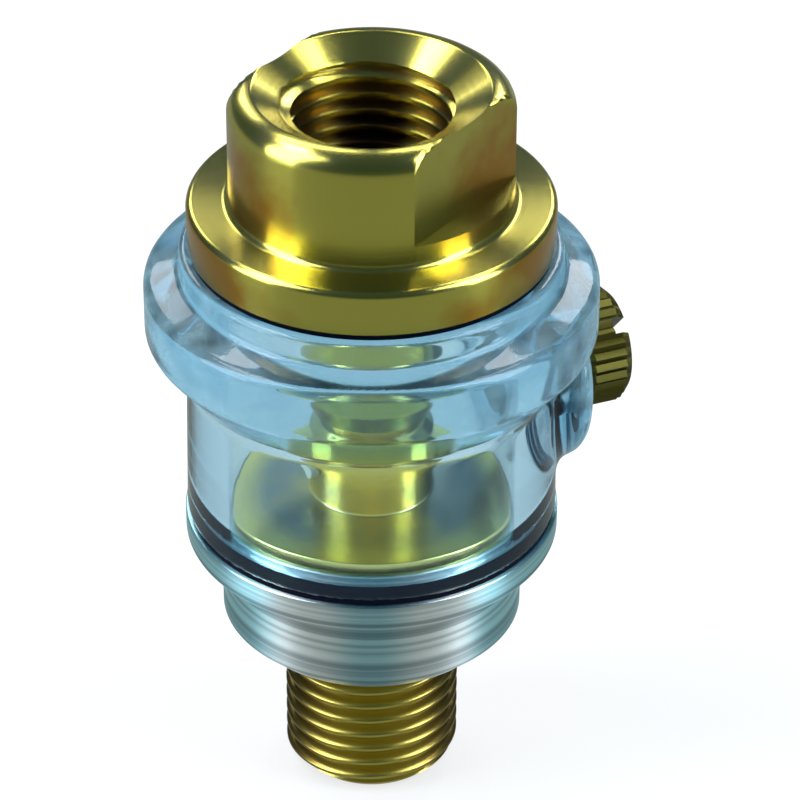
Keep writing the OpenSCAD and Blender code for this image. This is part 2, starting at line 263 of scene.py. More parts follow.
record_mounts = {mount["name"]: mount for mount in frame["record"]["mounts"]}
PORT_R = record_mounts["inlet_thread"]["dims"]["r_mm"]
OUTLET_R = record_mounts["outlet_thread"]["dims"]["r_mm"]


def node_box(node):
    """Lowest and highest corner of a node at rest, in millimetres."""
    low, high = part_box(node)
    return low / MM, high / MM


# Levels and radii read from the frame
cap_box = node_box("inlet_cap")
stem_box = node_box("outlet_stem")
bowl_box = node_box("bowl")
base_box = node_box("base_nut")
plug_box = node_box("filler_plug")
plug_seal_box = node_box("filler_seal")
base_gasket_box = node_box("base_gasket")

cap_top_z = cap_box[1].z
hub_end_z = cap_box[0].z
flange_r = cap_box[1].x
flange_top_z = cap_top_z - CAP_H
flange_bottom_z = flange_top_z - FLANGE_H
port_floor_z = cap_top_z - PORT_DEPTH
web_bottom_z = hub_end_z + HUB_BORE_DEPTH
flats_z = cap_top_z - FLATS_H
foot_z = bowl_box[0].z
bowl_top_z = bowl_box[1].z
bowl_r = base_box[1].x - BASE_RIM_OUT
bore_r = BOWL_BORE_D / 2
base_bottom_z = base_box[0].z
base_top_z = base_gasket_box[0].z
disc_bottom_z = base_box[1].z
neck_bottom_z = hub_end_z - STEM_NECK_LEN
filler_z = (plug_box[0].z + plug_box[1].z) / 2
boss_reach = plug_seal_box[0].x


def unit(vector):
    return vector / np.linalg.norm(vector)


def corner(before, here, after, radius, shares):
    """Points of a corner rounded to a radius as far as its shares of both sides allow."""
    u = unit(before - here)
    v = unit(after - here)
    half = math.acos(float(np.clip(u @ v, -1, 1))) / 2
    sides = (np.linalg.norm(before - here), np.linalg.norm(after - here))
    reach = min(radius / math.tan(half), shares[0] * sides[0], shares[1] * sides[1])
    arc_r = reach * math.tan(half)
    centre = here + unit(u + v) * arc_r / math.sin(half)
    start = here + u * reach - centre
    end = here + v * reach - centre
    first = math.atan2(start[1], start[0])
    turn = math.atan2(start[0] * end[1] - start[1] * end[0], float(start @ end))
    angles = first + turn * np.linspace(0, 1, ARC_STEPS + 1)
    return [centre + arc_r * np.array((math.cos(a), math.sin(a))) for a in angles]


def rounded(points, soft=SOFT_EDGE):
    """Closed outline of (r, z) or (r, z, radius) points with rounded corners."""
    flat = [np.array(point[:2], float) for point in points]
    radii = [point[2] if len(point) == 3 else soft for point in points]
    shares = [ROUND_SHARE if radius else SHARP_SHARE for radius in radii]
    outline = []
    for i, radius in enumerate(radii):
        j = (i + 1) % len(flat)
        if radius:
            outline += corner(flat[i - 1], flat[i], flat[j], radius, (shares[i - 1], shares[j]))
        else:
            outline.append(flat[i])
    return outline


def thread_wave(z, theta, pitch):
    """Thread form from -1 at the root to 1 at the crest, right-handed about +Z."""
    phase = (z / pitch - theta / (2 * math.pi)) % 1.0
    triangle = 1 - 4 * np.abs(phase - 0.5)
    flat = np.clip(THREAD_FLAT * triangle, -1, 1)
    return flat * (3 - flat * flat) / 2


def finish_mesh(piece, body, material, sharp=SHARP_ANGLE):
    """Smooth shading, place on a body, slot and material of a new piece."""
    mesh = piece.data
    mesh.shade_smooth()
    mesh.set_sharp_from_angle(angle=math.radians(sharp))
    mesh.materials.clear()
    mesh.materials.append(material)
    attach(piece, body)
    return piece


def mesh_piece(name, vertices, faces):
    """New object from points in millimetres."""
    mesh = bpy.data.meshes.new(name)
    mesh.from_pydata((np.asarray(vertices) * MM).tolist(), [], faces)
    piece = bpy.data.objects.new(name, mesh)
    bpy.context.scene.collection.objects.link(piece)
    outward(piece)
    return piece


def outward(piece):
    """Joins equal points and turns all faces of a closed mesh outward."""
    work = bmesh.new()
    work.from_mesh(piece.data)
    bmesh.ops.remove_doubles(work, verts=work.verts, dist=WELD * MM)
    bmesh.ops.recalc_face_normals(work, faces=work.faces)
    work.to_mesh(piece.data)
    work.free()


def ring_part(rings, thetas):
    """Turned shell through rings of (radius, height), each one number or one for every angle."""
    count = len(thetas)
    vertices = []
    for radius, height in rings:
        heights = np.broadcast_to(height, count)
        vertices.append(np.stack((radius * np.cos(thetas), radius * np.sin(thetas), heights), 1))
    faces = []
    for i in range(len(rings) - 1):
        for j in range(count):
            k = (j + 1) % count
            faces.append((i * count + j, i * count + k, (i + 1) * count + k, (i + 1) * count + j))
    return np.concatenate(vertices), faces


def helix_part(low, high, pitch, radius_at, thetas):
    """Threaded shell whose rows follow the thread, cut off level at both ends."""
    turn = np.append(thetas, 2 * math.pi)
    ends = np.broadcast_to(high, len(thetas))
    ends = np.append(ends, ends[0])
    rows = math.ceil((ends.max() - low + pitch) / pitch * STEPS_PER_PITCH) + 1
    start = low - pitch + np.arange(rows) * pitch / STEPS_PER_PITCH
    z = np.clip(start[:, None] + pitch * turn / (2 * math.pi), low, ends)
    angle = np.broadcast_to(turn, z.shape)
    radius = radius_at(z, angle)
    vertices = np.stack((radius * np.cos(angle), radius * np.sin(angle), z), -1).reshape(-1, 3)
    count = len(turn)
    faces = []
    for i in range(rows - 1):
        for j in range(count - 1):
            k = i * count + j
            faces.append((k, k + 1, k + count + 1, k + count))
    return vertices, faces


def joined(name, parts, place=None):
    """One closed piece from shells that meet at their edges."""
    vertices = []
    faces = []
    start = 0
    for points, quads in parts:
        vertices.append(points)
        faces += [tuple(start + i for i in quad) for quad in quads]
        start += len(points)
    points = np.concatenate(vertices)
    return mesh_piece(name, place(points) if place else points, faces)


def circle(count):
    return np.linspace(0, 2 * math.pi, count, endpoint=False)


def smooth_min(a, b, width):
    """Blend of two distance fields."""
    share = np.clip(0.5 + 0.5 * (b - a) / width, 0, 1)
    return b * (1 - share) + a * share - width * share * (1 - share)


def smooth_max(a, b, width):
    return -smooth_min(-a, -b, width)


def outline_distance(outline, r, z):
    """Signed distance to a closed outline, negative inside."""
    nearest = np.full(r.shape, np.inf)
    inside = np.zeros(r.shape, bool)
    for (r0, z0), (r1, z1) in zip(outline, outline[1:] + outline[:1]):
        along = ((r - r0) * (r1 - r0) + (z - z0) * (z1 - z0)) / ((r1 - r0) ** 2 + (z1 - z0) ** 2)
        along = np.clip(along, 0, 1)
        nearest = np.minimum(nearest, np.hypot(r - r0 - along * (r1 - r0), z - z0 - along * (z1 - z0)))
        if z0 != z1:
            crosses = (z0 > z) != (z1 > z)
            inside ^= crosses & (r < r0 + (z - z0) / (z1 - z0) * (r1 - r0))
    return np.where(inside, -nearest, nearest)


def surface_net(values, low, step):
    """Quads on the zero level of a grid of values: one point in each cell that the level crosses."""
    inside = values < 0
    cells = tuple(n - 1 for n in values.shape)
    total = np.zeros(cells + (3,))
    count = np.zeros(cells)
    grid = np.stack(np.meshgrid(*[np.arange(n, dtype=float) for n in values.shape], indexing="ij"), -1)
    crossings = []
    for axis in range(3):
        first = tuple(slice(0, -1) if a == axis else slice(None) for a in range(3))
        second = tuple(slice(1, None) if a == axis else slice(None) for a in range(3))
        crosses = inside[first] != inside[second]
        gap = np.where(crosses, values[first] - values[second], 1.0)
        place = grid[first].copy()
        place[..., axis] += values[first] / gap
        place *= crosses[..., None]
        crossings.append((crosses, inside[first]))
        others = [a for a in range(3) if a != axis]
        for i in (0, 1):
            for j in (0, 1):
                window = [slice(None)] * 3
                window[others[0]] = slice(i, i + cells[others[0]])
                window[others[1]] = slice(j, j + cells[others[1]])
                total += place[tuple(window)]
                count += crosses[tuple(window)]
    active = count > 0
    number = np.full(cells, -1)
    number[active] = np.arange(active.sum())
    points = low + step * total[active] / count[active][:, None]
    faces = []
    for axis, (crosses, starts_inside) in enumerate(crossings):
        u = (axis + 1) % 3
        v = (axis + 2) % 3
        at = np.argwhere(crosses)
        corners = []
        for du, dv in ((1, 1), (0, 1), (0, 0), (1, 0)):
            cell = at.copy()
            cell[:, u] -= du
            cell[:, v] -= dv
            corners.append(number[tuple(cell.T)])
        quads = np.stack(corners, 1)
        flip = ~starts_inside[tuple(at.T)]
        quads[flip] = quads[flip][:, ::-1]
        faces.append(quads)
    return points, np.concatenate(faces)


def socket(node, name, value):
    """Links an output to a node's input, or sets the input to a constant."""
    if isinstance(value, bpy.types.NodeSocket):
        node.id_data.links.new(value, node.inputs[name])
    else:
        node.inputs[name].default_value = value


def math_node(tree, operation, *values):
    node = tree.nodes.new("ShaderNodeMath")
    node.operation = operation
    for place, value in enumerate(values):
        socket(node, place, value)
    return node.outputs[0]


def mixed_shader(tree, share, first, second):
    """Shader that runs from a first one to a second one."""
    node = tree.nodes.new("ShaderNodeMixShader")
    for place, value in enumerate((share, first, second)):
        socket(node, place, value)
    return node.outputs[0]


def places(tree):
    """Coordinates in the object's own frame."""
    return tree.nodes.new("ShaderNodeTexCoord").outputs["Object"]


def separated(tree, vector):
    """The three coordinates of a vector."""
    node = tree.nodes.new("ShaderNodeSeparateXYZ")
    socket(node, 0, vector)
    return node.outputs


def new_material(name, **settings):
    """Principled material with the given sockets, and its node tree."""
    material = bpy.data.materials.new(name)
    material.use_nodes = True
    tree = material.node_tree
    shader = tree.nodes["Principled BSDF"]
    for key, value in settings.items():
        socket(shader, key.replace("_", " "), value)
    return material, tree, shader


def turned_coordinates(tree, axis):
    """Radius and height as coordinates, so that a texture makes turning marks."""
    split = separated(tree, places(tree))
    join = tree.nodes.new("ShaderNodeCombineXYZ")
    for name, place in zip([name for name in "XYZ" if name != axis], "XY"):
        socket(join, place, split[name])
    length = tree.nodes.new("ShaderNodeVectorMath")
    length.operation = "LENGTH"
    socket(length, 0, join.outputs[0])
    pair = tree.nodes.new("ShaderNodeCombineXYZ")
    socket(pair, "X", length.outputs["Value"])
    socket(pair, "Y", split[axis])
    return pair.outputs[0]


def noise(tree, vector, scale, detail=2.0):
    texture = tree.nodes.new("ShaderNodeTexNoise")
    socket(texture, "Scale", scale)
    socket(texture, "Detail", detail)
    socket(texture, "Vector", vector)
    return texture.outputs["Fac"]


def bump(tree, shader, height, strength, distance):
    node = tree.nodes.new("ShaderNodeBump")
    socket(node, "Strength", strength)
    socket(node, "Distance", distance * MM)
    socket(node, "Height", height)
    socket(shader, "Normal", node.outputs["Normal"])


def two_tone(tree, factor, positions, tones):
    """Colour that runs between two tones."""
    ramp = tree.nodes.new("ShaderNodeValToRGB")
    for element, position, tone in zip(ramp.color_ramp.elements, positions, tones):
        element.position = position
        element.color = tone
    socket(ramp, "Fac", factor)
    return ramp.outputs["Color"]


def distance_aside(tree):
    """Distance to either side of the part's middle plane."""
    across = tree.nodes.new("ShaderNodeVectorMath")
    across.operation = "DOT_PRODUCT"
    socket(across, 0, places(tree))
    socket(across, 1, ASIDE_AXIS)
    return math_node(tree, "ABSOLUTE", across.outputs["Value"])


def blend(tree, share, first, tone, kind="MIX"):
    """Colour that runs from a colour to a constant tone, or to its product with that tone."""
    mix = tree.nodes.new("ShaderNodeMix")
    mix.data_type = "RGBA"
    mix.blend_type = kind
    for place, value in ((0, share), (6, first), (7, tone)):
        socket(mix, place, value)
    return mix.outputs[2]


def tarnish_and_painted_light_share(tree, level_share):
    """Duller share: tarnish in soft spots, painted shade at the two sides, and on level faces a share set
    by the level share, painted light on the brass.
    """
    spots = noise(tree, places(tree), PATINA_SPOTS, PATINA_DETAIL)
    spots = math_node(tree, "SUBTRACT", spots, TARNISH_AND_SHADE_SHIFT)
    share = math_node(tree, "MULTIPLY_ADD", distance_aside(tree), PAINTED_SIDE_SHADE_PER_M, spots)
    normal = tree.nodes.new("ShaderNodeNewGeometry").outputs["Normal"]
    return math_node(tree, "MULTIPLY_ADD", separated(tree, normal)["Z"], level_share, share)


def turning_marks(tree, shader, strength, axis):
    """Bump of fine turning marks and a tangent that draws highlights across them."""
    bump(tree, shader, noise(tree, turned_coordinates(tree, axis), MARKS), strength, MARK_DEPTH)
    tangent = tree.nodes.new("ShaderNodeTangent")
    tangent.direction_type = "RADIAL"
    tangent.axis = axis
    socket(shader, "Tangent", tangent.outputs["Tangent"])
    socket(shader, "Anisotropic Rotation", ACROSS_MARKS)


def ranged(tree, value, start, end, result=(0.0, 1.0), kind="LINEAR"):
    """Number that runs from the first to the second result between the start and the end of a range."""
    node = tree.nodes.new("ShaderNodeMapRange")
    node.interpolation_type = kind
    for name, number in zip(("From Min", "From Max", "To Min", "To Max"), (start, end, *result)):
        socket(node, name, number)
    socket(node, "Value", value)
    return node.outputs[0]


def eased(tree, value, start, end):
    """Share that runs softly from 0 at the start to 1 at the end of a range in millimetres."""
    return ranged(tree, value, start * MM, end * MM, kind="SMOOTHSTEP")


def shaded_port(tree, color, shade):
    """Colour that turns to a dark painted shade down in the port, less of it towards the two sides."""
    turned = separated(tree, turned_coordinates(tree, "Z"))
    share = eased(tree, turned["X"], PORT_R + 2 * PIPE_DEPTH, PORT_R + PIPE_DEPTH)
    for other in (
        eased(tree, turned["Y"], web_bottom_z, port_floor_z),
        eased(tree, turned["Y"], cap_top_z - MOUTH_DEPTH, cap_top_z - PORT_SHADE),
        eased(tree, distance_aside(tree), PORT_SIDE, PORT_MIDDLE),
    ):
        share = math_node(tree, "MULTIPLY", share, other)
    return blend(tree, share, color, shade)


def stem_tones(tree, shader, color, roughness, rim_highlight, thread, thread_side_shade):
    """Colour with a painted highlight at the rim of the stem's disc, darker and duller on the thread, and
    with painted shade at the thread's sides.
    """
    turned = separated(tree, turned_coordinates(tree, "Z"))
    outside = eased(tree, turned["X"], RIM_NEAR, RIM_FAR)
    below = eased(tree, turned["Y"], base_top_z, base_bottom_z)
    rougher = math_node(tree, "MULTIPLY_ADD", below, THREAD_ROUGHNESS - roughness, roughness)
    socket(shader, "Roughness", rougher)
    sides = eased(tree, distance_aside(tree), THREAD_MIDDLE, OUTLET_R)
    color = blend(tree, outside, color, rim_highlight)
    color = blend(tree, below, color, thread)
    return blend(tree, math_node(tree, "MULTIPLY", below, sides), color, thread_side_shade, "MULTIPLY")


def brass_metal(name, bright, dull, positions, roughness, stretch, coat=0.0, level_share=0.0, axis="Z",
                shade=None, rim_and_thread=None):
    """Turned brass whose tone changes over its surface."""
    material, tree, shader = new_material(
        name, Metallic=1.0, Roughness=roughness, Anisotropic=stretch,
        Coat_Weight=coat, Coat_Roughness=COAT_ROUGHNESS)
    turning_marks(tree, shader, BRASS_MARKS, axis)
    # Duller tone: tarnish spots, painted shade at the sides, and a painted tone on level faces set by the
    # level share
    color = two_tone(tree, tarnish_and_painted_light_share(tree, level_share), positions, (bright, dull))
    if shade:
        color = shaded_port(tree, color, shade)
    if rim_and_thread:
        color = stem_tones(tree, shader, color, roughness, *rim_and_thread)
    socket(shader, "Base Color", color)
    return material


def lined_metal(name, bright, dull, grey_shade, blue_reflection, positions, roughness, stretch):
    """Turned metal with coarse dark turning lines, greyer in the middle by painted shade and bluer at its
    sides by painted reflection.
    """
    material, tree, shader = new_material(
        name, Metallic=1.0, Roughness=roughness, Anisotropic=stretch)
    turning_marks(tree, shader, BASE_MARKS, "Z")
    lines = noise(tree, turned_coordinates(tree, "Z"), LINES, LINES_DETAIL)
    color = two_tone(tree, lines, positions, (bright, dull))
    color = blend(tree, eased(tree, distance_aside(tree), GREY_FAR, GREY_NEAR), color, grey_shade, "MULTIPLY")
    color = blend(tree, eased(tree, distance_aside(tree), BLUE_NEAR, BLUE_FAR), color, blue_reflection, "MULTIPLY")
    socket(shader, "Base Color", color)
    return material


def make_felt():
    material, tree, shader = new_material("felt", Base_Color=(0.5, 0.45, 0.34, 1), Roughness=0.95)
    bump(tree, shader, noise(tree, places(tree), FELT_FIBRES, FELT_DETAIL), FELT_BUMP, FELT_DEPTH)
    return material


def frost_share(tree):
    """Share of a milky surface, which grows from the clear wall to the ring and the boss, in soft spots."""
    split = separated(tree, places(tree))
    ring = ranged(tree, split["Z"], FROST_LOW * MM, FROST_HIGH * MM, (0.0, FROST_SHARE))
    boss = ranged(tree, split["X"], FROST_NEAR * MM, FROST_FAR * MM, (0.0, BOSS_FROST_SHARE))
    spots = ranged(tree, noise(tree, places(tree), FROST_SPOTS, FROST_DETAIL), *SPOT_NOISE, SPOT_FACTOR)
    sides = ranged(tree, distance_aside(tree), FROST_MIDDLE * MM, FROST_SIDE * MM, SIDE_FACTOR)
    share = math_node(tree, "MAXIMUM", ring, boss)
    share = math_node(tree, "MULTIPLY", share, spots)
    return math_node(tree, "MULTIPLY", share, sides)


def make_clear_plastic():
    """Clear plastic that turns blue where light runs far through it, and throws a pale shadow."""
    material, tree, shader = new_material(
        "clear_plastic",
        Base_Color=(0.95, 0.98, 0.99, 1),
        Roughness=0.05,
        IOR=1.49,
        Specular_Tint=(0.5, 0.5, 0.55, 1),
        Transmission_Weight=1.0,
    )
    output = tree.nodes["Material Output"]
    tint = tree.nodes.new("ShaderNodeVolumeAbsorption")
    socket(tint, "Color", (0.13, 0.56, 0.72, 1))
    socket(tint, "Density", TINT_PER_M)
    socket(output, "Volume", tint.outputs[0])
    clear = tree.nodes.new("ShaderNodeBsdfTransparent")
    socket(clear, "Color", (0.82, 0.9, 0.93, 1))
    frost = tree.nodes.new("ShaderNodeBsdfPrincipled")
    socket(frost, "Base Color", (0.28, 0.5, 0.59, 1))
    socket(frost, "Roughness", 0.35)
    look = mixed_shader(tree, frost_share(tree), shader.outputs[0], frost.outputs[0])
    path = tree.nodes.new("ShaderNodeLightPath")
    socket(output, "Surface", mixed_shader(tree, path.outputs["Is Shadow Ray"], look, clear.outputs[0]))
    return material


# Brass: its negative level share paints light on level faces, and its shade tone is painted shade down in
# the port
brass = brass_metal(
    "brass", bright=(0.53, 0.47, 0.085, 1), dull=(0.43, 0.21, 0.012, 1), positions=(0.5, 0.82),
    roughness=0.2, stretch=0.9, coat=0.3, level_share=-0.6, shade=(0.1, 0.065, 0.03, 1))
stem_brass = brass_metal(
    "stem_brass", bright=(0.82, 0.62, 0.15, 1), dull=(0.3, 0.33, 0.3, 1), positions=(0.4, 0.9),
    roughness=0.24, stretch=0.3, level_share=0.3,
    # Tones: painted highlight at the disc's rim, the thread's own, and painted shade at the thread's sides
    rim_and_thread=((0.95, 0.78, 0.26, 1), (0.56, 0.46, 0.1, 1), (0.4, 0.33, 0.42, 1)))
plug_brass = brass_metal(
    "plug_brass", bright=(0.13, 0.15, 0.03, 1), dull=(0.1, 0.09, 0.02, 1), positions=(0.25, 0.8),
    roughness=0.36, stretch=0.9, axis="X")
# Aluminium: its grey is painted shade in the middle, its blue a painted reflection at the sides
aluminium = lined_metal(
    "aluminium", bright=(0.94, 1.0, 1.0, 1), dull=(0.43, 0.47, 0.49, 1), grey_shade=(0.46, 0.7, 0.78, 1),
    blue_reflection=(0.55, 0.9, 1.0, 1), positions=(0.4, 0.62), roughness=0.34, stretch=0.9)
rubber = new_material(
    "rubber", Base_Color=(0.001, 0.002, 0.008, 1), Roughness=0.6, Specular_IOR_Level=0.05)[0]
felt = make_felt()
clear_plastic = make_clear_plastic()


def cap_thetas():
    """Angles round the cap, with the corners of its flats among them."""
    angles = list(circle(CAP_SEGMENTS))
    half = math.acos(FLATS_AF / CAP_D)
    for side in (0, math.pi):
        middle = math.radians(FLATS_ANGLE) + side
        angles += [(middle - half) % (2 * math.pi), (middle + half) % (2 * math.pi)]
    return np.unique(np.round(angles, ANGLE_DIGITS))


def make_cap():
    """Cap with its wrench flats and the female thread."""
    thetas = cap_thetas()
    cap_r = CAP_D / 2
    hub_r = HUB_D / 2
    thread_r = STEM_THREAD_D / 2
    plug_r = bore_r - CENTRING_GAP
    flat_r = FLATS_AF / 2 / np.maximum(np.abs(np.cos(thetas - math.radians(FLATS_ANGLE))), TINY)
    outside = rounded([
        (WEB_CORE_R, port_floor_z, 0),
        (WEB_CORE_R, web_bottom_z, 0),
        (thread_r, web_bottom_z, 0),
        (thread_r, hub_end_z),
        (HUB_END_D / 2, hub_end_z),
        (hub_r, hub_end_z + HUB_TAPER_H),
        (hub_r, flange_bottom_z - CAP_PLUG_H),
        (plug_r, flange_bottom_z - CAP_PLUG_H),
        (plug_r, flange_bottom_z),
        (flange_r, flange_bottom_z),
        (flange_r, flange_top_z, FLANGE_EDGE_R),
        (cap_r, flange_top_z, CAP_FOOT_R),
        (cap_r, flats_z, 0),
        (cap_r, flats_z + LEDGE_STEP, 0),
        (cap_r, cap_top_z, CAP_EDGE_R),
        (MOUTH_D / 2, cap_top_z, 0),
    ])
    cut_in = np.maximum(0, MOUTH_D / 2 - flat_r)
    rim_z = cap_top_z - MOUTH_DEPTH * cut_in / (MOUTH_D / 2 - PORT_R)
    rings = []
    for r, z in outside:
        rings.append((np.minimum(r, flat_r), np.minimum(z, rim_z)) if z > flats_z else (r, z))
    thread_end_z = port_floor_z + PORT_RELIEF

    def port_radius(z, theta):
        cone_r = PORT_R + (MOUTH_D / 2 - PORT_R) * np.maximum(0, 1 - (cap_top_z - z) / MOUTH_DEPTH)
        fade = np.clip((z - thread_end_z) / PIPE_PITCH, 0, 1)
        groove = (1 - thread_wave(z, theta, PIPE_PITCH)) / 2
        return np.maximum(cone_r, PORT_R + fade * PIPE_DEPTH * groove)

    piece = joined("inlet_cap_threaded", [
        ring_part(rings, thetas),
        helix_part(thread_end_z, rim_z, PIPE_PITCH, port_radius, thetas),
        ring_part([(PORT_R, thread_end_z), (PORT_R, port_floor_z), (WEB_CORE_R, port_floor_z)], thetas),
    ])
    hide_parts("inlet_cap")
    return finish_mesh(piece, "housing", brass)


def disc_with_holes(name, radius, holes, low, high):
    """Flat round plate with round holes, each (x, y, radius)."""
    curve = bpy.data.curves.new(name, "CURVE")
    curve.dimensions = "2D"
    curve.fill_mode = "BOTH"
    curve.extrude = (high - low) / 2 * MM
    for x, y, r in [(0, 0, radius)] + holes:
        line = curve.splines.new("POLY")
        angles = circle(PLATE_SEGMENTS if r > SMALL_HOLE_R else HOLE_SEGMENTS)
        line.points.add(len(angles) - 1)
        for point, angle in zip(line.points, angles):
            point.co = ((x + r * math.cos(angle)) * MM, (y + r * math.sin(angle)) * MM, 0, 1)
        line.use_cyclic_u = True
    shape = bpy.data.objects.new(name, curve)
    shape.location.z = (low + high) / 2 * MM
    bpy.context.scene.collection.objects.link(shape)
    bpy.context.view_layer.update()
    mesh = bpy.data.meshes.new_from_object(shape.evaluated_get(bpy.context.evaluated_depsgraph_get()))
    mesh.transform(shape.matrix_world)
    bpy.data.objects.remove(shape)
    bpy.data.curves.remove(curve)
    piece = bpy.data.objects.new(name, mesh)
    bpy.context.scene.collection.objects.link(piece)
    return piece


def make_web():
    """Floor of the port with its air holes and the metering screw's bore, in two plates."""
    holes = []
    for angle in circle(AIR_HOLES):
        x = AIR_HOLE_PCD / 2 * math.cos(angle)
        y = AIR_HOLE_PCD / 2 * math.sin(angle)
        holes.append((x, y, AIR_HOLE_D / 2))
    step_z = web_bottom_z + SCREW_HOLE_LEN
    for name, bore, low, high in (
        ("port_floor", SCREW_BORE_D, step_z, port_floor_z),
        ("port_floor_thread", SCREW_HOLE_D, web_bottom_z, step_z),
    ):
        piece = disc_with_holes(name, WEB_CORE_R, holes + [(0, 0, bore / 2)], low, high)
        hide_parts("inlet_cap")
        finish_mesh(piece, "housing", brass)


def make_stem():
    """Stem with the male thread, the floor disc and the threaded neck."""
    thetas = circle(TURNED_SEGMENTS)
    disc_r = bore_r - DISC_GAP
    collar_z = base_bottom_z - OUTLET_COLLAR_H
    stem_top_z = stem_box[1].z
    thread_r = STEM_THREAD_D / 2
    root_r = OUTLET_R - PIPE_DEPTH
    step = (OUTLET_BORE_D - STEM_BORE_D) / 2

    def outlet_radius(z, theta):
        cone_r = OUTLET_R - OUTLET_CHAMFER + z
        ridge = (1 + thread_wave(z, theta, PIPE_PITCH)) / 2
        fade = np.clip((collar_z - z) / (FADE_TURNS * PIPE_PITCH), 0, 1)
        return np.minimum(cone_r, root_r + fade * PIPE_DEPTH * ridge)

    def neck_radius(z, theta):
        ridge = (1 + thread_wave(z, theta, STEM_PITCH)) / 2
        fade = np.clip(np.minimum(z - neck_bottom_z, stem_top_z - z) / (FADE_TURNS * STEM_PITCH), 0, 1)
        return thread_r - fade * STEM_DEPTH * (1 - ridge)

    middle = rounded([
        (root_r, collar_z, 0),
        (BASE_THREAD_D / 2, collar_z),
        (BASE_THREAD_D / 2, disc_bottom_z, 0),
        (disc_r, disc_bottom_z),
        (disc_r, disc_bottom_z + DISC_H),
        (STEM_D / 2, disc_bottom_z + DISC_H, STEM_FOOT_R),
        (STEM_D / 2, neck_bottom_z - STEM_SHOULDER_H),
        (thread_r, neck_bottom_z, 0),
    ])
    inside = [
        (thread_r, stem_top_z),
        (STEM_BORE_D / 2, stem_top_z),
        (STEM_BORE_D / 2, OUTLET_BORE_DEPTH + step),
        (OUTLET_BORE_D / 2, OUTLET_BORE_DEPTH),
        (OUTLET_BORE_D / 2, SOFT_EDGE),
        (OUTLET_BORE_D / 2 + SOFT_EDGE, 0),
        (OUTLET_R - OUTLET_CHAMFER, 0),
    ]
    piece = joined("outlet_stem_threaded", [
        helix_part(0, collar_z, PIPE_PITCH, outlet_radius, thetas),
        ring_part(middle, thetas),
        helix_part(neck_bottom_z, stem_top_z, STEM_PITCH, neck_radius, thetas),
        ring_part(inside, thetas),
    ])
    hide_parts("outlet_stem")
    return finish_mesh(piece, "housing", stem_brass)


def make_base():
    """Turned base with softened edges."""
    step_r = base_box[1].x - BASE_STEP_IN
    rim_bottom_z = base_top_z - BASE_RIM_H
    thread_r = BASE_THREAD_D / 2
    spigot_r = bore_r - CENTRING_GAP
    outline = rounded([
        (thread_r, base_bottom_z),
        (step_r - BASE_STEP_CHAMFER, base_bottom_z),
        (step_r, base_bottom_z + BASE_STEP_CHAMFER),
        (step_r, rim_bottom_z, BASE_STEP_R),
        (base_box[1].x, rim_bottom_z, BASE_RIM_R),
        (base_box[1].x, base_top_z),
        (spigot_r, base_top_z),
        (spigot_r, disc_bottom_z),
        (BASE_GROOVE_R, disc_bottom_z),
        (BASE_GROOVE_R, disc_bottom_z - BASE_GROOVE_DEPTH),
        (thread_r, disc_bottom_z - BASE_GROOVE_DEPTH),
    ])
    piece = joined("base_nut_turned", [ring_part(outline + outline[:1], circle(TURNED_SEGMENTS))])
    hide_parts("base_nut")
    return finish_mesh(piece, "housing", aluminium)


def make_gasket(node, low, high):
    """Gasket pressed against the clear plastic."""
    outer_r = node_box(node)[1].x
    outline = rounded([(bore_r, low), (outer_r, low), (outer_r, high), (bore_r, high)], GASKET_EDGE_R)
    piece = joined(node + "_pressed", [ring_part(outline + outline[:1], circle(TURNED_SEGMENTS))])
    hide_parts(node)
    return finish_mesh(piece, "housing", rubber)


def bowl_outline():
    """Outside of the bowl's wall, past the axis on the inner side."""
    upper_r = bowl_r - BOWL_DRAFT
    ring_r = bowl_r + RING_OUT
    neck_r = bowl_r + NECK_OUT
    ring_bottom_z = foot_z + RING_Z
    ring_top_z = ring_bottom_z + RING_H
    return rounded([
        (-PAST_AXIS, foot_z, 0),
        (bowl_r, foot_z, FOOT_EDGE_R),
        (upper_r, ring_bottom_z - RING_SLOPE_H, RING_FILLET_R),
        (ring_r, ring_bottom_z + RING_EDGE_R / 2, RING_EDGE_R),
        (ring_r, ring_top_z, RING_EDGE_R),
        (neck_r, ring_top_z + RING_CROWN, RING_EDGE_R / 2),
        (neck_r, bowl_top_z, NECK_EDGE_R),
        (-PAST_AXIS, bowl_top_z, 0),
    ])


def bowl_field():
    """Distance field of the moulded bowl, as a function of points."""
    outline = bowl_outline()
    r_axis = np.arange(0, bowl_r + RING_OUT + FIELD_ROOM, FIELD_STEP)
    z_axis = np.arange(foot_z - FIELD_ROOM, bowl_top_z + FIELD_ROOM, FIELD_STEP)
    table = outline_distance(outline, *np.meshgrid(r_axis, z_axis, indexing="ij"))

    def wall(r, z):
        i = np.clip(r / FIELD_STEP, 0, len(r_axis) - 1)
        j = np.clip((z - z_axis[0]) / FIELD_STEP, 0, len(z_axis) - 1)
        i0 = np.minimum(i.astype(int), len(r_axis) - 2)
        j0 = np.minimum(j.astype(int), len(z_axis) - 2)
        di = i - i0
        dj = j - j0
        low = table[i0, j0] * (1 - di) + table[i0 + 1, j0] * di
        high = table[i0, j0 + 1] * (1 - di) + table[i0 + 1, j0 + 1] * di
        return low * (1 - dj) + high * dj

    def field(points):
        x, y, z = np.moveaxis(points, -1, 0)
        r = np.hypot(x, y)
        rho = np.hypot(y, z - filler_z)
        side = rho - BOSS_D / 2 + BOSS_EDGE_R
        end = x - boss_reach + BOSS_EDGE_R
        boss = np.minimum(np.maximum(side, end), 0) - BOSS_EDGE_R
        boss += np.hypot(np.maximum(side, 0), np.maximum(end, 0))
        boss = np.maximum(boss, -x)
        solid = smooth_min(wall(r, z), boss, BOSS_BLEND)
        solid = smooth_max(solid, bore_r - r, EDGE_BLEND)
        hole = np.maximum(rho - FILLER_HOLE_D / 2, bore_r / 2 - x)
        return smooth_max(solid, -hole, EDGE_BLEND)

    return field


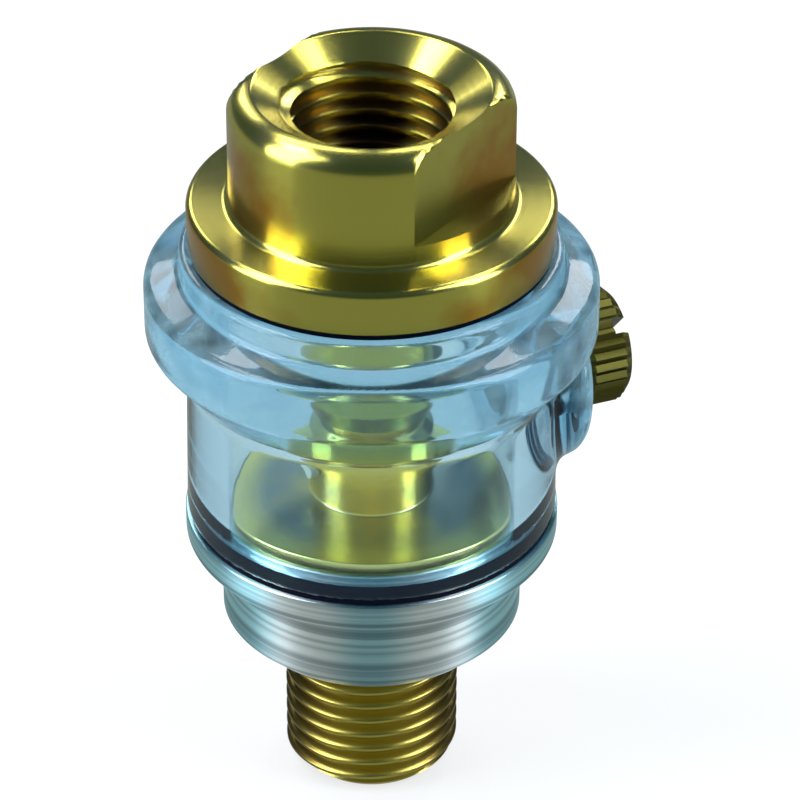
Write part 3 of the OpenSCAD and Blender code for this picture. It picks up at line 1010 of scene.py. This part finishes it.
def make_bowl():
    """Clear bowl, meshed from its distance field and drawn onto the surface."""
    step = MOULD_STEP * 1
    field = bowl_field()
    margin = FREE_CELLS * step
    reach = bowl_r + RING_OUT + margin
    low = np.array((-reach, -reach, foot_z - margin))
    high = np.array((reach, reach, bowl_top_z + margin))
    axes = [np.arange(a, b + step, step) for a, b in zip(low, high)]
    grid = np.stack(np.meshgrid(*axes, indexing="ij"), -1)
    points, faces = surface_net(field(grid), low, step)
    nudges = SLOPE_NUDGE * np.eye(3)
    for _ in range(SURFACE_ROUNDS):
        slope = np.stack([field(points + nudge) - field(points - nudge) for nudge in nudges], -1)
        slope /= 2 * SLOPE_NUDGE
        size = np.maximum((slope ** 2).sum(-1, keepdims=True), LEAST_SLOPE)
        points = points - field(points)[:, None] * slope / size
    piece = mesh_piece("bowl_moulded", points, faces.tolist())
    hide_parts("bowl")
    return finish_mesh(piece, "housing", clear_plastic, BOWL_SHARP_ANGLE)


def onto_filler(points):
    """Points drawn along Z, put onto the filler's axis."""
    x, y, z = np.asarray(points).T
    return np.stack((z, y, filler_z - x), 1)


def make_plug():
    """Filler plug with its knurled head, slot and thread."""
    thetas = circle(KNURL_POINTS * KNURL_COUNT)
    head_x = plug_seal_box[1].x
    end_x = plug_box[1].x
    head_r = PLUG_HEAD_D / 2
    thread_r = PLUG_THREAD_D / 2
    root_r = thread_r - PLUG_DEPTH
    ridge = np.abs((thetas / (2 * math.pi) * KNURL_COUNT) % 1 - 0.5) * 2
    knurl_r = head_r - KNURL_DEPTH * (1 - ridge)
    shank_x = plug_box[0].x

    def shank_radius(x, theta):
        crest = (1 + thread_wave(x, theta, PLUG_PITCH)) / 2
        cone_r = root_r + x - shank_x
        fade = np.clip((head_x - x) / (FADE_TURNS * PLUG_PITCH), 0, 1)
        return np.minimum(cone_r, thread_r - PLUG_DEPTH * (1 - fade * crest))

    head = (
        (head_r - PLUG_HEAD_CHAMFER, head_x),
        (head_r, head_x + PLUG_HEAD_CHAMFER),
        (head_r, end_x - PLUG_HEAD_CHAMFER),
        (head_r - PLUG_HEAD_CHAMFER, end_x),
    )
    rings = [(root_r, head_x)] + [(np.minimum(r, knurl_r), x) for r, x in head] + [(0, end_x)]
    parts = [
        ring_part([(0, shank_x), (root_r, shank_x)], thetas),
        helix_part(shank_x, head_x, PLUG_PITCH, shank_radius, thetas),
        ring_part(rings, thetas),
    ]
    turn = math.radians(PLUG_SLOT_ANGLE)
    along = np.array((math.cos(turn), math.sin(turn), 0))
    across = np.array((-math.sin(turn), math.cos(turn), 0))
    corners = []
    for z in (end_x - PLUG_SLOT_DEPTH, end_x + SLOT_CUTTER_OVER):
        for a, b in SQUARE:
            corners.append(a * PLUG_HEAD_D * along + b * PLUG_SLOT_W / 2 * across + np.array((0, 0, z)))
    cutter = mesh_piece("slot_cutter", onto_filler(corners), [
        (0, 1, 2, 3), (4, 5, 6, 7), (0, 1, 5, 4), (1, 2, 6, 5), (2, 3, 7, 6), (3, 0, 4, 7)])
    piece = joined("filler_plug_knurled", parts, onto_filler)
    cut = piece.modifiers.new("slot", "BOOLEAN")
    cut.operation = "DIFFERENCE"
    cut.object = cutter
    cut.solver = "EXACT"
    bpy.context.view_layer.update()
    mesh = bpy.data.meshes.new_from_object(piece.evaluated_get(bpy.context.evaluated_depsgraph_get()))
    piece.modifiers.clear()
    piece.data = mesh
    bpy.data.objects.remove(cutter)
    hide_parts("filler_plug")
    return finish_mesh(piece, "filler_plug_body", plug_brass, PLUG_SHARP_ANGLE)


make_cap()
make_web()
make_stem()
make_base()
make_gasket("base_gasket", base_top_z, foot_z + GASKET_CONTACT)
make_gasket("cap_gasket", bowl_top_z - GASKET_CONTACT, flange_bottom_z)
make_bowl()
make_plug()

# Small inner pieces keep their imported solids
for node, material in {
    "filler_seal": rubber,
    "stem_seal": rubber,
    "metering_seal": rubber,
    "venturi_jet": stem_brass,
    "metering_screw": plug_brass,
    "oil_wick": felt,
}.items():
    solid = frame["nodes"][node]
    solid.data.materials.clear()
    solid.data.materials.append(material)


def direction(azimuth, elevation):
    """Unit vector from the object towards a place seen at these angles from the front."""
    a = math.radians(azimuth)
    e = math.radians(elevation)
    return Vector((math.sin(a) * math.cos(e), -math.cos(a) * math.cos(e), math.sin(e)))


def aim(thing, place, target):
    thing.location = place
    thing.rotation_euler = (place - target).to_track_quat("Z", "Y").to_euler()


target = Vector((0, 0, TARGET_Z * MM))

camera_data = bpy.data.cameras.new("camera")
camera = bpy.data.objects.new("camera", camera_data)
bpy.context.scene.collection.objects.link(camera)
bpy.context.scene.camera = camera
camera_data.sensor_width = SENSOR_WIDTH
camera_data.lens = FOCAL_PX * SENSOR_WIDTH / IMAGE_PX
camera_data.shift_x = (IMAGE_PX / 2 - TARGET_PX[0]) / IMAGE_PX
camera_data.shift_y = (TARGET_PX[1] - IMAGE_PX / 2) / IMAGE_PX
camera_data.clip_start = CLIP_NEAR * MM
camera_data.clip_end = CLIP_FAR * MM
aim(camera, target + direction(CAMERA_AZIMUTH, CAMERA_ELEVATION) * CAMERA_DISTANCE * MM, target)


def soft_box(name, azimuth, elevation, distance, size, power, through=False, color=WHITE[:3]):
    """Area light at an angle from the camera, which may show through the clear plastic."""
    light = bpy.data.lights.new(name, "AREA")
    light.shape = "RECTANGLE"
    light.size, light.size_y = np.array(size) * MM
    light.energy = power
    light.color = color
    thing = bpy.data.objects.new(name, light)
    bpy.context.scene.collection.objects.link(thing)
    aim(thing, target + direction(CAMERA_AZIMUTH + azimuth, elevation) * distance * MM, target)
    thing.visible_camera = False
    thing.visible_transmission = through


# Two large boxes light the part, and small ones make the bright arcs on the rings and in the cap's mouth
soft_box("left_box", -72, 30, 400, size=(200, 500), power=2.0, through=True, color=COOL_LIGHT)
soft_box("right_box", 68, 30, 400, size=(150, 500), power=1.8, through=True, color=COOL_LIGHT)
soft_box("back_left_box", -157, 33, 450, size=(100, 130), power=0.22)
soft_box("back_right_box", 157, 33, 450, size=(100, 130), power=0.32)
soft_box("high_left_box", -160, 55, 450, size=(160, 40), power=0.25)
soft_box("high_right_box", 160, 55, 450, size=(160, 40), power=0.25)
soft_box("upper_left_box", -106, 60, 450, size=(140, 120), power=0.6)
soft_box("upper_right_box", 106, 60, 450, size=(120, 100), power=0.28)

# Dark room, white to the camera and through the plastic
world = bpy.data.worlds.new("studio")
bpy.context.scene.world = world
world.use_nodes = True
world_tree = world.node_tree
path = world_tree.nodes.new("ShaderNodeLightPath").outputs
seen = math_node(world_tree, "MAXIMUM", path["Is Camera Ray"], path["Is Transmission Ray"])
room = world_tree.nodes.new("ShaderNodeMix")
room.data_type = "RGBA"
for place, value in ((0, seen), (6, DARK_ROOM), (7, WHITE)):
    socket(room, place, value)
background = world_tree.nodes["Background"]
socket(background, "Color", room.outputs[2])
socket(background, "Strength", 1.0)

# Pale floor: white through the plastic, white with a share of its own shading to the camera, so that the
# shadow stays, and pale grey in the metal, which mirrors a darker room in the photograph
floor = mesh_piece("floor", [(x * FLOOR_HALF, y * FLOOR_HALF, 0) for x, y in SQUARE], [(0, 1, 2, 3)])
floor_material, floor_tree, floor_shader = new_material(
    "floor", Base_Color=(0.85, 0.85, 0.85, 1), Roughness=0.9)
floor.data.materials.append(floor_material)
path = floor_tree.nodes.new("ShaderNodeLightPath").outputs
seen = math_node(floor_tree, "MULTIPLY", path["Is Camera Ray"], FLOOR_GLOW)
seen = math_node(floor_tree, "MAXIMUM", seen, path["Is Transmission Ray"])
look = floor_shader.outputs[0]
# A ray through the plastic counts as glossy too, so the grey comes first and the white covers it
for color, share in ((FLOOR_MIRRORED, path["Is Glossy Ray"]), (WHITE, seen)):
    glow = floor_tree.nodes.new("ShaderNodeEmission")
    socket(glow, "Color", color)
    socket(glow, "Strength", 1.0)
    look = mixed_shader(floor_tree, share, look, glow.outputs[0])
socket(floor_tree.nodes["Material Output"], "Surface", look)

bpy.context.scene.view_settings.view_transform = "Standard"
